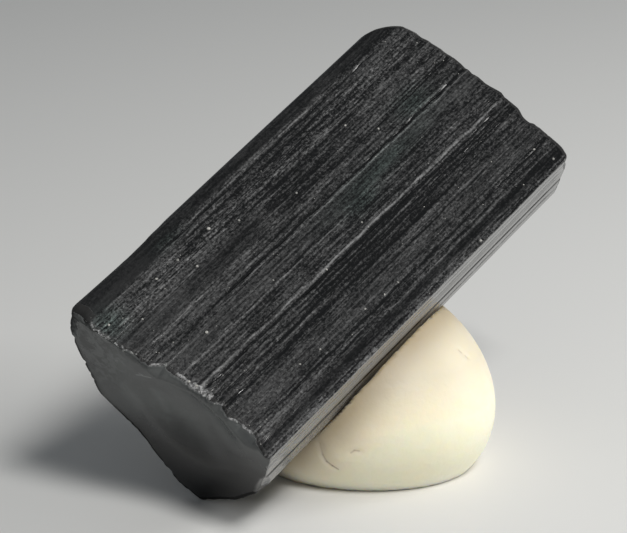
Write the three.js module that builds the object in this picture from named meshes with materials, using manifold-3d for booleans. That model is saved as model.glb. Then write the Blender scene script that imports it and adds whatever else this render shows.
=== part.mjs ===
// A black tourmaline crystal leaning on a lump of display putty.
//
// The crystal is one prism, broken off at both ends. Its section is a rounded, irregular polygon: a broad flat
// face on top, a narrow side cut square to it, and slanted faces below that meet in a blunt keel. Ridges and
// grooves run the whole length of it. It stands on the tip of its keel at the low end, and the keel lies in the
// putty, which is a ball pinched out towards that tip and pressed to the crystal's own shape.
//
// Units are millimetres and +Z is up. +X follows the crystal's length as seen from above, towards its raised
// end. The origin is the centre of the footprint of the whole, on the surface that it stands on.
import * as THREE from "three";
import { mergeVertices } from "three/addons/utils/BufferGeometryUtils.js";
import Module from "manifold-3d";

const wasm = await Module();
wasm.setup();

// ---- Driving dimensions ----
const CRYSTAL_LENGTH = 44; // from the low break to the high one, before either is shaped
const CRYSTAL_WIDTH = 21.3; // across the broad face, half way along
const CRYSTAL_FLARE = 0.035; // how much wider its high end is than its low end, as a share
const RISE_DEG = 23.4; // from the level up to the crystal's length
const ROLL_DEG = 33; // of the broad face, about the crystal's length
const LOW_BREAK_SLANT_DEG = 3.5; // of the low break, off square, across the broad face
const LOW_BREAK_INSET = 0.2; // of the low break at the middle of the section
const LOW_SCOOP_RADIUS = 12; // of the hollow in the low break
const LOW_SCOOP = [1.4, 14, 3.2]; // that hollow's deepest place, as [along, across, down]
const HIGH_BREAK_RADIUS = 60; // of the dome that the high break follows
const HIGH_BREAK_RISE = 1.5; // of that dome's top, beyond the crystal's length
const SEAT_GAP = 0.3; // between the crystal and the putty
const CLEAR = 60; // longer than the whole part, for solids that only cut

// The putty ball before the crystal is pressed into it, measured from the tip that the crystal stands on.
const PUTTY_CENTRE = new THREE.Vector3(16.1, -2.0, 5.6);
const PUTTY_REACH = { foot: 11, raised: 11.6, front: 13.9, back: 8.5, up: 10.3 };
const PUTTY_SPREAD = 0.18; // how much wider it is towards the crystal's raised end, as a share
const PUTTY_LIFT = 0.23; // how much taller it is towards that end

const radians = THREE.MathUtils.degToRad;

// ---- The crystal's section ----
// Corners as [across the broad face, down from it, radius], starting at that face's high edge.
const CORNERS = [
  [-0.5, 0.0, 0.7],
  [CRYSTAL_WIDTH, 0.0, 0.25],
  [CRYSTAL_WIDTH + 0.1, 6.5, 0.8],
  [19.8, 10.1, 1.5],
  [16.5, 14.55, 0.8],
  [14.0, 14.5, 0.8],
  [9.0, 11.1, 3.0],
  [4.1, 9.3, 1.6],
  [1.5, 5.6, 3.0],
  [-0.3, 2.2, 1.5],
];
const SECTION_MIDDLE = [11, 6.5];

// Ridges (+) and grooves (-) as [height, width, places along the face as a share of it], for each face in turn.
const STRIAE = [
  [
    [-0.16, 0.5, [0.06, 0.24, 0.34, 0.58, 0.84]],
    [-0.3, 0.5, [0.375, 0.68, 0.71]],
    [0.14, 0.9, [0.15, 0.29, 0.47, 0.64, 0.77, 0.91]],
  ],
  [[-0.2, 0.4, [0.62]]],
  [[-0.12, 0.6, [0.5]]],
  [[-0.16, 0.8, [0.28, 0.7]]],
  [],
  [[-0.16, 0.9, [0.35, 0.68]]],
  [[-0.14, 0.8, [0.5]]],
  [],
  [],
  [],
];

// The points of the arc that rounds a corner, from the face before it to the face after it.
function roundedCorner([beforeX, beforeY], [x, y, radius], [afterX, afterY]) {
  const corner = new THREE.Vector2(x, y);
  const back = new THREE.Vector2(beforeX - x, beforeY - y).normalize();
  const ahead = new THREE.Vector2(afterX - x, afterY - y).normalize();
  const reach = radius / Math.tan(Math.acos(back.dot(ahead)) / 2);
  const start = corner.clone().addScaledVector(back, reach);
  const end = corner.clone().addScaledVector(ahead, reach);
  return new THREE.QuadraticBezierCurve(start, corner, end).getPoints(4);
}

// A face's striae, each as three points: its two sides on the face, and its crest or bottom between them.
function striaPoints(from, to, striae) {
  const along = to.clone().sub(from).normalize();
  const outward = new THREE.Vector2(along.y, -along.x);
  return striae
    .flatMap(([height, width, places]) => places.map((place) => ({ height, width, place })))
    .sort((a, b) => a.place - b.place)
    .flatMap(({ height, width, place }) =>
      [-0.5, 0, 0.5].map((side) =>
        from
          .clone()
          .lerp(to, place)
          .addScaledVector(along, side * width)
          .addScaledVector(outward, side === 0 ? height : 0),
      ),
    );
}

// The whole section, moved outwards by an allowance. Each face keeps its striae.
function sectionOutline(allowance = 0) {
  const arcs = CORNERS.map((corner, i) =>
    roundedCorner(CORNERS.at(i - 1), corner, CORNERS[(i + 1) % CORNERS.length]),
  );
  const outline = arcs.flatMap((arc, face) => {
    const next = arcs[(face + 1) % arcs.length];
    return [...arc, ...striaPoints(arc.at(-1), next[0], STRIAE[face])];
  });
  return outline.map((point, i) => {
    const along = outline[(i + 1) % outline.length].clone().sub(outline.at(i - 1)).normalize();
    return point.clone().addScaledVector(new THREE.Vector2(along.y, -along.x), allowance);
  });
}

// ---- Solids ----
// A closed geometry as a manifold-3d solid.
function solidOf(geometry) {
  const bare = geometry.clone();
  bare.deleteAttribute("normal");
  bare.deleteAttribute("uv");
  const { attributes, index } = mergeVertices(bare, 1e-4);
  return new wasm.Manifold(
    new wasm.Mesh({
      numProp: 3,
      vertProperties: new Float32Array(attributes.position.array),
      triVerts: new Uint32Array(index.array),
    }),
  );
}

// A solid's surface as a geometry.
function geometryOf(solid) {
  const { numProp, vertProperties, triVerts } = solid.getMesh();
  const geometry = new THREE.BufferGeometry();
  const vertices = new THREE.InterleavedBuffer(vertProperties, numProp);
  geometry.setAttribute("position", new THREE.InterleavedBufferAttribute(vertices, 3, 0));
  geometry.setIndex(new THREE.BufferAttribute(triVerts, 1));
  const faceted = geometry.toNonIndexed();
  faceted.computeVertexNormals();
  return faceted;
}

// ---- The crystal, in its own frame ----
// Its length runs along +X from the low break, across the broad face is -Y, and down from that face is -Z.
const inCrystal = (along, across, down) => new THREE.Vector3(along, -across, -down);

// An outline of [across, down] points as a flared prism between two places along the crystal.
function lengthwisePrism(outline, start, end) {
  const shape = new THREE.Shape(outline);
  const prism = new THREE.ExtrudeGeometry(shape, { depth: end - start, bevelEnabled: false });
  const points = prism.getAttribute("position");
  for (let i = 0; i < points.count; i++) {
    const along = start + points.getZ(i);
    const flare = 1 + CRYSTAL_FLARE * (along / CRYSTAL_LENGTH - 0.5);
    points.setX(i, SECTION_MIDDLE[0] + (points.getX(i) - SECTION_MIDDLE[0]) * flare);
  }
  const axes = new THREE.Matrix4().makeBasis(
    new THREE.Vector3(0, -1, 0),
    new THREE.Vector3(0, 0, -1),
    new THREE.Vector3(1, 0, 0),
  );
  return prism.applyMatrix4(axes).translate(start, 0, 0);
}

// An ellipsoid bite out of an edge.
function chip([along, across, down], [reach, width, depth]) {
  const bite = new THREE.SphereGeometry(1, 12, 8);
  return bite.scale(reach, width / 2, depth).translate(...inCrystal(along, across, down).toArray());
}

// The low break is a slanted plane with a shallow scoop, and chips along its edge with the broad face.
const LOW_CHIPS = [
  [[0.2, 9.2, 0], [0.9, 1.8, 0.7]],
  [[0.7, 12.6, 0], [0.9, 2.4, 0.6]],
  [[0.9, 15.0, 0], [0.9, 1.2, 1.0]],
  [[0.7, 18.2, 0], [0.9, 2.4, 0.5]],
  [[0.0, 21.3, 6.0], [2.0, 1.4, 2.6]],
  [[-1.5, -0.9, 1.2], [13, 2.5, 4.5]],
];

function lowBreak() {
  const beyond = new THREE.BoxGeometry(CLEAR, CLEAR, CLEAR).translate(-CLEAR / 2, 0, 0);
  const slant = new THREE.Matrix4().makeRotationZ(radians(LOW_BREAK_SLANT_DEG));
  const hinge = inCrystal(LOW_BREAK_INSET, ...SECTION_MIDDLE);
  const scoop = new THREE.IcosahedronGeometry(LOW_SCOOP_RADIUS, 8).translate(-LOW_SCOOP_RADIUS, 0, 0);
  scoop.translate(...inCrystal(...LOW_SCOOP).toArray());
  return [
    solidOf(beyond.applyMatrix4(slant).translate(...hinge.toArray())),
    solidOf(scoop),
    ...LOW_CHIPS.map(([place, size]) => solidOf(chip(place, size))),
  ];
}

// The high break is a dome. Its rim is rounded at the broad face's corners and steps down across that face.
const HIGH_RIM = [
  [38, -1.0],
  [40.9, -0.3],
  [43.2, 0.7],
  [44.2, 2.1],
  [44.75, 6.3],
  [44.55, 9.0],
  [44.75, 12.4],
  [44.4, 14.9],
  [44.05, 15.6],
  [44.2, 17.6],
  [44.0, 20.2],
  [43.3, 21.5],
  [42.2, 22.2],
];

function highBreak() {
  const rim = new THREE.Shape([
    new THREE.Vector2(-CLEAR, CLEAR),
    new THREE.Vector2(HIGH_RIM[0][0], CLEAR),
    ...HIGH_RIM.map(([along, across]) => new THREE.Vector2(along, -across)),
    new THREE.Vector2(HIGH_RIM.at(-1)[0], -CLEAR),
    new THREE.Vector2(-CLEAR, -CLEAR),
  ]);
  const square = new THREE.ExtrudeGeometry(rim, { depth: 2 * CLEAR, bevelEnabled: false });
  const dome = new THREE.IcosahedronGeometry(HIGH_BREAK_RADIUS, 17);
  const domeTop = inCrystal(CRYSTAL_LENGTH + HIGH_BREAK_RISE, ...SECTION_MIDDLE);
  dome.translate(-HIGH_BREAK_RADIUS, 0, 0).translate(...domeTop.toArray());
  return [solidOf(square.translate(0, 0, -CLEAR)), solidOf(dome)];
}

function crystalSolid() {
  const prism = solidOf(lengthwisePrism(sectionOutline(), -2, CRYSTAL_LENGTH + 2));
  const ended = highBreak().reduce((solid, limit) => solid.intersect(limit), prism);
  return lowBreak().reduce((solid, cut) => solid.subtract(cut), ended);
}

// ---- Placing ----
// Turns the crystal's own frame into the part's: the roll first, then the rise.
const turn = new THREE.Matrix4()
  .makeRotationY(-radians(RISE_DEG))
  .multiply(new THREE.Matrix4().makeRotationX(radians(ROLL_DEG)));

// Puts the crystal's lowest point at the origin.
function standingMatrix(geometry) {
  const turned = geometry.clone().applyMatrix4(turn).getAttribute("position");
  const point = new THREE.Vector3();
  const lowest = new THREE.Vector3(0, 0, Infinity);
  for (let i = 0; i < turned.count; i++)
    if (point.fromBufferAttribute(turned, i).z < lowest.z) lowest.copy(point);
  return new THREE.Matrix4().makeTranslation(lowest.negate()).multiply(turn);
}

// ---- The putty ----
// A unit sphere drawn out to the ball's reach in each direction.
function puttyBall() {
  const ball = new THREE.SphereGeometry(1, 48, 28).rotateX(Math.PI / 2);
  const points = ball.getAttribute("position");
  const { foot, raised, front, back, up } = PUTTY_REACH;
  for (let i = 0; i < points.count; i++) {
    const [x, y, z] = [points.getX(i), points.getY(i), points.getZ(i)];
    points.setXYZ(
      i,
      PUTTY_CENTRE.x + x * (x < 0 ? foot : raised),
      PUTTY_CENTRE.y + y * (y < 0 ? front : back) * (1 + PUTTY_SPREAD * x),
      PUTTY_CENTRE.z + z * up * (1 + PUTTY_LIFT * x),
    );
  }
  return ball;
}

function puttySolid(stand) {
  const below = new THREE.BoxGeometry(2 * CLEAR, 2 * CLEAR, CLEAR).translate(0, 0, -CLEAR / 2);
  const seat = lengthwisePrism(sectionOutline(SEAT_GAP), -10, CRYSTAL_LENGTH + 10).applyMatrix4(stand);
  return solidOf(puttyBall()).subtract(solidOf(below)).subtract(solidOf(seat));
}

// ---- The part ----
const crystalGeometry = geometryOf(crystalSolid());
const stand = standingMatrix(crystalGeometry);

const crystal = new THREE.Mesh(
  crystalGeometry.applyMatrix4(stand),
  new THREE.MeshStandardMaterial({ color: 0x1b1c1d, roughness: 0.45, metalness: 0 }),
);
crystal.name = "crystal";

const putty = new THREE.Mesh(
  geometryOf(puttySolid(stand)),
  new THREE.MeshStandardMaterial({ color: 0xf3e8c6, roughness: 0.55, metalness: 0 }),
);
putty.name = "putty_rest";

const group = new THREE.Group();
group.add(crystal, putty);
const footprint = new THREE.Box3().setFromObject(group).getCenter(new THREE.Vector3());
group.position.set(-footprint.x, -footprint.y, 0);

export default group;
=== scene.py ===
# %% [markdown]
# # A black tourmaline crystal in its display putty
# A collector stands a prism of black tourmaline in a lump of cream putty, so that its long
# striped face looks up at the viewer. This lesson makes both from flat sheets of points, rolled
# up and welded, because the rows of a sheet can be spent where the eye looks: closely across
# the striped face, and loosely underneath. The welding leaves no seam and no open end.
#
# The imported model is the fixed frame. Everything is placed from its boxes, in metres.

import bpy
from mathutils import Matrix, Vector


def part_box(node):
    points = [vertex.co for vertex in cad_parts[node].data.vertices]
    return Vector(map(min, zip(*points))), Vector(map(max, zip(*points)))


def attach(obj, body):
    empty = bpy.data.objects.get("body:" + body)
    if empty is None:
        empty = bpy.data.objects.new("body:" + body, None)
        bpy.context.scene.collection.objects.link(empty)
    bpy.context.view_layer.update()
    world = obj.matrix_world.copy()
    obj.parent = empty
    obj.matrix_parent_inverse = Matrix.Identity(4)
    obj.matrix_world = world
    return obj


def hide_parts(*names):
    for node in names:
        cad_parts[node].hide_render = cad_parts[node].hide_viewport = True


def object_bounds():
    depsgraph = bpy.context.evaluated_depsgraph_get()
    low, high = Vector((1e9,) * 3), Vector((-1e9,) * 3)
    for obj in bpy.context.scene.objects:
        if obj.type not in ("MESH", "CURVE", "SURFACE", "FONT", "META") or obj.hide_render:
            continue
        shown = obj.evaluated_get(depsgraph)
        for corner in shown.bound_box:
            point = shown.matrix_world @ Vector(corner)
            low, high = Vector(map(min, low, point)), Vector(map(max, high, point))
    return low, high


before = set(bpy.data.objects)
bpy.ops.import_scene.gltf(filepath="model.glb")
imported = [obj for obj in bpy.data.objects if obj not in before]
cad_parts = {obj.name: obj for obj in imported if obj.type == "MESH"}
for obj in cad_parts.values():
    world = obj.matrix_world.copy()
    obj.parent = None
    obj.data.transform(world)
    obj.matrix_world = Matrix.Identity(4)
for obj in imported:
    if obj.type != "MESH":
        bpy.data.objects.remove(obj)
cad_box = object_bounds()
print("frame box in mm:", [[round(1000 * v, 2) for v in corner] for corner in cad_box])

# %% Units and chance
import math

import bmesh
import bpy
import numpy as np
from mathutils import Matrix, Vector

MM = 0.001
SEED = 20
rng = np.random.default_rng(SEED)
print("sizes are in mm until they are multiplied by", MM, "and the random seed is", SEED)

# %% [markdown]
# ## The section of the crystal
# Tourmaline grows as a prism, and its faces are never quite flat or equal. This one was split
# off a larger crystal, so one broad face is whole and the others are narrow. The section is
# ten corners, each with its own rounding, written as across and down from the broad face.
# A bevel on the corners of a polygon could round them too, but the points between the corners
# would then be hard to share out. So each corner is one Bezier curve, and the finished line
# is divided again with a chosen number of steps on each face.

# %% The corners
WIDTH = 21.3
LENGTH = 44.0
FLARE = 0.035
MIDDLE = np.array([11.0, 6.5])
# across, down, radius, and the number of mesh steps on the face that follows
CORNERS = (
    (-0.5, 0.0, 0.7, 322),
    (WIDTH, 0.0, 0.25, 72),
    (WIDTH + 0.1, 6.5, 0.8, 32),
    (19.8, 10.1, 1.5, 26),
    (16.5, 14.55, 0.8, 12),
    (14.0, 14.5, 0.8, 38),
    (9.0, 11.1, 3.0, 32),
    (4.1, 9.3, 1.6, 18),
    (1.5, 5.6, 3.0, 18),
    (-0.3, 2.2, 1.5, 16),
)
print("the section has", len(CORNERS), "corners")


# %% The line round them
FACE_MIDDLE = 10.0


def rounded(corners, steps=16):
    """Points along the outline and, for each corner, the number of the point at its middle."""
    points, middles = [], []
    for i, (across, down, radius, _) in enumerate(corners):
        here = np.array([across, down])
        before = np.array(corners[i - 1][:2]) - here
        after = np.array(corners[(i + 1) % len(corners)][:2]) - here
        before /= np.linalg.norm(before)
        after /= np.linalg.norm(after)
        reach = radius / math.tan(math.acos(np.dot(before, after)) / 2)
        start, end = here + before * reach, here + after * reach
        t = np.linspace(0, 1, steps + 1)[:, None]
        middles.append(len(points) + steps // 2)
        points.extend((1 - t) ** 2 * start + 2 * t * (1 - t) * here + t ** 2 * end)
    return np.array(points), middles


def share_out(corners):
    """The outline divided face by face: places, outward directions and the distance round."""
    line, middles = rounded(corners)
    line = np.vstack([line[middles[0]:], line[:middles[0] + 1]])
    run = np.concatenate([[0], np.cumsum(np.linalg.norm(np.diff(line, axis=0), axis=1))])
    marks = [run[m - middles[0]] for m in middles] + [run[-1]]
    where = np.concatenate([np.linspace(a, b, corner[3], endpoint=False)
                            for a, b, corner in zip(marks, marks[1:], corners)])
    places = np.stack([np.interp(where, run, line[:, k]) for k in (0, 1)], axis=1)
    ahead = np.roll(places, -1, axis=0) - np.roll(places, 1, axis=0)
    ahead /= np.linalg.norm(ahead, axis=1)[:, None]
    outward = np.stack([ahead[:, 1], -ahead[:, 0]], axis=1)
    return places, outward, where, run[-1]


section, outward, around, girth = share_out(CORNERS)
# In the middle of the broad face, the distance around is the same number as across
on_face = slice(0, 200)
around = around - np.interp(FACE_MIDDLE, section[on_face, 0], around[on_face]) + FACE_MIDDLE
STEPS_ROUND = len(section)
print("section:", STEPS_ROUND, "steps round a girth of", round(girth, 2), "mm")

# %% [markdown]
# ## The two broken ends
# The low end is a break across the prism, a little slanted, with one shallow scoop where a
# flake came off. The high end is slightly domed, and its rim has worn down in steps. Both are
# height fields over the section: a formula gives how far along the crystal the surface lies
# for any place across and down. A boolean cut could make them, but it would leave long thin
# triangles just where light grazes the rim.

# %% Height of each end
LOW_SLANT = math.tan(math.radians(3.5))
LOW_INSET = 0.2
SCOOP_RADIUS = 12.0
# depth, across and down
SCOOP_DEEPEST = (1.4, 14.0, 3.2)
SCOOP_RIM = 0.5
DOME_RADIUS = 60.0
DOME_TOP = LENGTH + 1.5
# along and across, where the high rim meets the broad face
HIGH_RIM = np.array([
    (39.5, -1.0), (41.5, -0.4), (43.0, 0.3), (44.1, 1.2), (44.7, 2.4), (45.0, 4.5),
    (45.05, 6.3), (44.9, 9.0), (45.05, 12.4), (44.85, 14.9), (44.35, 15.8), (44.5, 17.6),
    (44.35, 20.2), (43.8, 21.3), (42.7, 22.2)])
RIM_BLUR = 0.12 * np.arange(-3, 4)
UNWORN = 1.4


def smooth_step(low, high, values):
    """0 below low, 1 above high and an even S between them."""
    t = np.clip((values - low) / (high - low), 0, 1)
    return t * t * (3 - 2 * t)


def fade_out(near, far, values):
    """1 up to near, 0 beyond far and an even S between them."""
    return smooth_step(-far, -near, -values)


def soft_min(a, b, size):
    """The smaller of two values, with a soft bend of the given size where they cross."""
    h = np.clip(0.5 + 0.5 * (b - a) / size, 0, 1)
    return b * (1 - h) + a * h - size * h * (1 - h)


def plain_low_end(across, down):
    """How far along the low break lies, without its crumbled edge: a slant and a scoop."""
    slant = LOW_INSET + (across - MIDDLE[0]) * LOW_SLANT
    depth, scoop_across, scoop_down = SCOOP_DEEPEST
    off = (across - scoop_across) ** 2 + (down - scoop_down) ** 2
    scoop = depth - SCOOP_RADIUS + np.sqrt(np.maximum(SCOOP_RADIUS ** 2 - off, 0))
    return -soft_min(-slant, -scoop, SCOOP_RIM)


def plain_high_end(across, down):
    """How far along the high end lies, without its small steps: a dome with a worn rim."""
    off = (across - MIDDLE[0]) ** 2 + (down - MIDDLE[1]) ** 2
    dome = DOME_TOP - DOME_RADIUS + np.sqrt(DOME_RADIUS ** 2 - off)
    worn = sum(np.interp(across + shift, HIGH_RIM[:, 1], HIGH_RIM[:, 0])
               for shift in RIM_BLUR) / len(RIM_BLUR)
    whole = UNWORN * smooth_step(0.4, 3.5, down) * smooth_step(17.0, 20.5, across)
    return np.minimum(dome, worn + whole)


print("on the axis, the ends lie at", round(float(plain_low_end(*MIDDLE)), 2), "and",
      round(float(plain_high_end(*MIDDLE)), 2), "mm along")

# %% [markdown]
# ## Rows of points from end to end
# One rolled sheet gives the whole crystal. Its first and last rows gather to a point in the
# middle of each end, the rows next to them spread over the end faces, and the rest run along
# the sides. Rows crowd together at the two rims, because chips and worn edges need points
# there. A cylinder with bevelled rims would be quicker, but its rims would be too even.

# %% The rows
LOW_ROWS, SIDE_ROWS, HIGH_ROWS = 26, 121, 18
END_CROWDING = 2.1
SIDE_CROWDING = 0.11


def from_rim(count, power):
    """Shares from 1 at the rim to nearly 0 at the middle, close together at the rim."""
    return 1 - (np.arange(count) / count) ** power


low_shares = from_rim(LOW_ROWS, END_CROWDING)[::-1][:-1]
high_shares = from_rim(HIGH_ROWS, END_CROWDING)[1:]
even = np.linspace(0, 1, SIDE_ROWS)
side_shares = even - SIDE_CROWDING * np.sin(math.tau * even)
ROWS = len(low_shares) + SIDE_ROWS + len(high_shares)
LOW_RIM_ROW = len(low_shares)
HIGH_RIM_ROW = LOW_RIM_ROW + SIDE_ROWS - 1
print("rows:", ROWS, "and triangles:", 2 * STEPS_ROUND * ROWS)

# %% [markdown]
# ## Striae
# The broad face of a tourmaline is ruled from end to end with fine steps, the striae, where
# two sets of growth faces took turns. In section they are short straight facets that meet at
# sharp creases. So each size of stria is a row of creases at uneven places, with straight
# slopes between them, whose heights drift slowly along the crystal. The lines that make this
# crystal itself are then added one by one: each has a place, a reach along the crystal, a half
# width, a height and a tone, where a ridge is above 0 and a groove below.

# %% Random facets
# pitch, swing, drift along the crystal, distance between changes
SIZES = (
    (1.7, 0.022, 0.25, 16.0),
    (0.6, 0.020, 0.35, 11.0),
    (0.28, 0.016, 0.55, 7.0),
)


def facets(pitch, swing, drift, along_pitch):
    """Heights of one size of stria at every row and step."""
    count = int(girth / pitch)
    creases = np.sort(rng.uniform(0, girth, count))
    columns = int(LENGTH / along_pitch) + 2
    steady = rng.normal(0, 1, (count, 1))
    change = rng.normal(0, 1, (count, columns))
    heights = swing * (steady * (1 - drift) + change * drift)
    return np.stack([np.interp(around, creases, heights[:, k], period=girth)
                     for k in range(columns)])


def along_rows(table, lengths):
    """Reads a table of columns along the crystal at each vertex's own distance along."""
    place = np.clip(lengths / LENGTH, 0, 0.9999) * (len(table) - 1)
    column = place.astype(int)
    share = smooth_step(0, 1, place - column)
    steps = np.arange(STEPS_ROUND)[None, :]
    return table[column, steps] * (1 - share) + table[column + 1, steps] * share


# %% The chosen lines
# across at the low end, across at the high end, from, to, half width, height, tone
# The tone of a line is painted light on a ridge and painted shade in a groove, beside its real
# relief
LINES = (
    (1.30, 1.25, 12, 37, 0.12, 0.02, 0.25),
    (1.58, 1.62, 10, 40, 0.16, -0.13, -0.35),
    (2.00, 2.00, 1, 34, 0.10, 0.02, 0.20),
    (2.28, 2.25, 12, 36, 0.10, -0.05, -0.25),
    (2.75, 2.75, 18, 25, 0.25, -0.04, -0.20),
    (3.75, 3.70, 1, 11, 0.22, 0.02, 0.18),
    (4.40, 4.40, 17, 35, 0.16, -0.06, -0.25),
    (4.75, 4.72, 8, 11, 0.10, 0.02, 0.30),
    (4.75, 4.72, 19, 23, 0.08, 0.02, 0.28),
    (4.75, 4.72, 26, 40, 0.08, 0.02, 0.22),
    (5.60, 5.60, 12, 27, 0.35, -0.04, -0.16),
    (6.60, 6.60, 14, 28, 0.12, -0.05, -0.18),
    (6.95, 7.00, 1, 15, 0.10, 0.02, 0.25),
    (6.85, 6.85, 27, 46, 0.12, -0.08, -0.32),
    (7.60, 7.60, 17, 22, 0.14, -0.04, -0.22),
    (8.25, 8.62, 9, 46, 0.16, -0.16, -0.40),
    (8.55, 8.95, 8, 46, 0.08, 0.02, 0.35),
    (9.20, 9.20, -1, 7, 0.08, 0.02, 0.18),
    (9.50, 9.50, 14, 22, 0.14, -0.04, -0.18),
    (10.50, 10.50, 14, 23, 0.10, -0.06, -0.25),
    (10.50, 10.60, 33, 41, 0.10, -0.06, -0.25),
    (10.78, 10.80, 1, 26, 0.10, 0.03, 0.30),
    (11.05, 11.05, 20, 37, 0.08, 0.02, 0.25),
    (11.65, 11.65, 21, 34, 0.07, -0.05, -0.25),
    (11.95, 11.95, 21, 34, 0.06, 0.01, 0.20),
    (12.20, 12.20, 21, 38, 0.07, -0.05, -0.28),
    (12.62, 13.15, 1, 46, 0.18, 0.06, 0.48),
    (13.02, 13.62, 1, 46, 0.14, -0.13, -0.34),
    (13.55, 13.95, 0, 46, 0.10, -0.09, -0.22),
    (13.75, 14.10, 0, 46, 0.06, 0.01, 0.14),
    (14.00, 14.25, 0, 46, 0.10, -0.09, -0.20),
    (14.50, 14.65, 0, 46, 0.14, -0.10, -0.28),
    (14.88, 14.92, 3, 15, 0.09, 0.02, 0.22),
    (15.35, 15.45, 0, 32, 0.24, -0.09, -0.24),
    (16.60, 16.60, 18, 37, 0.09, -0.06, -0.24),
    (16.30, 16.30, 28, 38, 0.10, 0.02, 0.15),
    (18.45, 18.62, 3, 46, 0.15, -0.12, -0.30),
    (19.00, 19.00, 1, 15, 0.12, 0.02, 0.16),
    (19.18, 19.22, 12, 46, 0.07, -0.05, -0.15),
    (19.45, 19.60, 16, 46, 0.08, 0.02, 0.25),
    (19.90, 19.95, 1, 46, 0.40, -0.05, -0.10),
    (WIDTH + 0.65, WIDTH + 0.7, -1, 46, 0.20, -0.09, -0.30),
    (WIDTH + 1.15, WIDTH + 1.2, 5, 46, 0.16, 0.02, 0.20),
    (WIDTH + 1.80, WIDTH + 1.9, -1, 46, 0.30, -0.14, -0.50),
    (WIDTH + 2.60, WIDTH + 2.6, 4, 44, 0.26, -0.10, -0.35),
    (WIDTH + 3.75, WIDTH + 3.8, -1, 46, 0.30, -0.22, -0.70),
    (WIDTH + 5.20, WIDTH + 5.2, 24, 46, 0.22, -0.12, -0.45),
)
print("chosen lines:", len(LINES))

# %% The bands between the lines
# Bands of the broad face: from and to across, from and to along, how much of the striae
# shows, and tone
BANDS = (
    (-2.5, 1.75, -2, 9.5, 0.25, -0.09),
    (-2.5, 0.9, 9.5, 46, 0.4, -0.11),
    # Painted sheen: the low end of the broad face is lighter, as the key light's gloss makes it
    (1.0, 21.3, -2, 8.0, 0.9, 0.06),
    (2.4, 4.1, -1, 20, 1.3, 0.03),
    (2.4, 4.1, 20, 46, 1.3, 0.0),
    (5.0, 6.7, -1, 18, 0.6, -0.02),
    (7.0, 8.1, 6, 46, 0.9, 0.05),
    (9.0, 10.4, -1, 46, 0.7, 0.05),
    (13.1, 15.8, -1, 46, 1.0, -0.06),
    (16.0, 18.1, -1, 46, 0.8, 0.04),
    (19.6, 20.5, -1, 46, 0.6, -0.07),
    (20.7, 21.3, -1, 46, 1.2, 0.0),
    # The narrow side: its light band tones are painted reflection of the pale floor and putty
    (WIDTH + 0.0, WIDTH + 0.6, -1, 46, 0.6, 1.00),
    (WIDTH + 0.6, WIDTH + 1.7, -1, 46, 0.6, 0.70),
    (WIDTH + 1.7, WIDTH + 3.4, -1, 46, 0.6, 0.95),
    (WIDTH + 4.1, WIDTH + 6.2, -1, 46, 0.6, 0.55),
)
print("bands:", len(BANDS))


# %% Heights and tones of the striae
LINE_STRENGTH = 1.3
LINE_END = 1.2
BAND_SIDE, BAND_END = 0.15, 0.8
# How a line strays sideways: swing, waves along it, and how much its own place shifts them
STRAYS = ((0.045, 1.1, 3), (0.025, 2.7, 5))
# along, and how far the corner beside the broad face has worn back there
WORN_BACK = np.array([(0.0, 0.0), (1.5, 0.0), (9.0, -0.20), (9.7, -0.02), (LENGTH, 0.0)])


def between(values, low, high, edge):
    """1 between low and high, fading to 0 over twice the edge."""
    rise = smooth_step(low - edge, low + edge, values)
    return rise * fade_out(high - edge, high + edge, values)


def stria_heights(lengths):
    """Height of the striae, tone of their lines and how much shows, by row and step."""
    heights = sum(along_rows(facets(*size), lengths) for size in SIZES)
    tone = np.zeros(lengths.shape)
    show = np.ones(lengths.shape)
    for low, high, start, end, shown, shade in BANDS:
        inside = between(around, low, high, BAND_SIDE) * between(lengths, start, end, BAND_END)
        show += (shown - 1) * inside
        tone += shade * inside
    heights *= show
    for low, high, start, end, half, height, shade in LINES:
        place = low + (high - low) * lengths / LENGTH
        for swing, waves, own in STRAYS if low < WIDTH else ():
            place = place + swing * np.cos(lengths * waves + low * own)
        shape = np.clip(1 - np.abs(around - place) / half, 0, 1)
        shape *= between(lengths, start, end, LINE_END)
        shape *= 0.85 + 0.3 * np.cos(lengths * 0.9 + low * 7) * np.cos(lengths * 2.3 + low)
        heights += height * shape
        tone += LINE_STRENGTH * shade * shape
    worn_back = np.interp(lengths, WORN_BACK[:, 0], WORN_BACK[:, 1])
    heights += worn_back * between(around, -1.2, 0.6, 0.6)
    return heights, tone, show


# %% [markdown]
# ## Put the rows in place
# The plain prism comes first, without striae, because its box is the CAD node's box and tells
# where the crystal stands. Then the same rows are placed again with the striae cut in. The
# highest ridge stays just under the plain face, so that the crystal never grows out of its
# CAD solid. Both rims are rounded by a small arc whose size changes round the crystal.

# %% Rows from end to end
SHARP = np.full(STEPS_ROUND, 1e-6)


def flared(across, lengths):
    """Across, once the crystal widens a little towards its high end."""
    return MIDDLE[0] + (across - MIDDLE[0]) * (1 + FLARE * (lengths / LENGTH - 0.5))


def round_the_rim(distance, size):
    """Distance along the side and in from it, for a distance measured across the rim."""
    angle = np.clip(0.5 + 0.5 * distance / size, 0, 1) * math.pi / 2
    near = np.abs(distance) < size
    along = np.where(near, size * (1 - np.cos(angle)), np.maximum(distance, 0))
    inward = np.where(near, size * (1 - np.sin(angle)), np.maximum(-distance, 0))
    return along, inward


def end_row(line, share, rim, end, way):
    """One row of an end face, drawn in from the rim towards the middle of the section."""
    reach = np.linalg.norm(line - MIDDLE, axis=1)
    along, inward = round_the_rim(-(1 - share) * reach, rim)
    place = MIDDLE + (line - MIDDLE) * (1 - inward / reach)[:, None]
    return np.column_stack([end(*place.T) + way * along, place])


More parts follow.
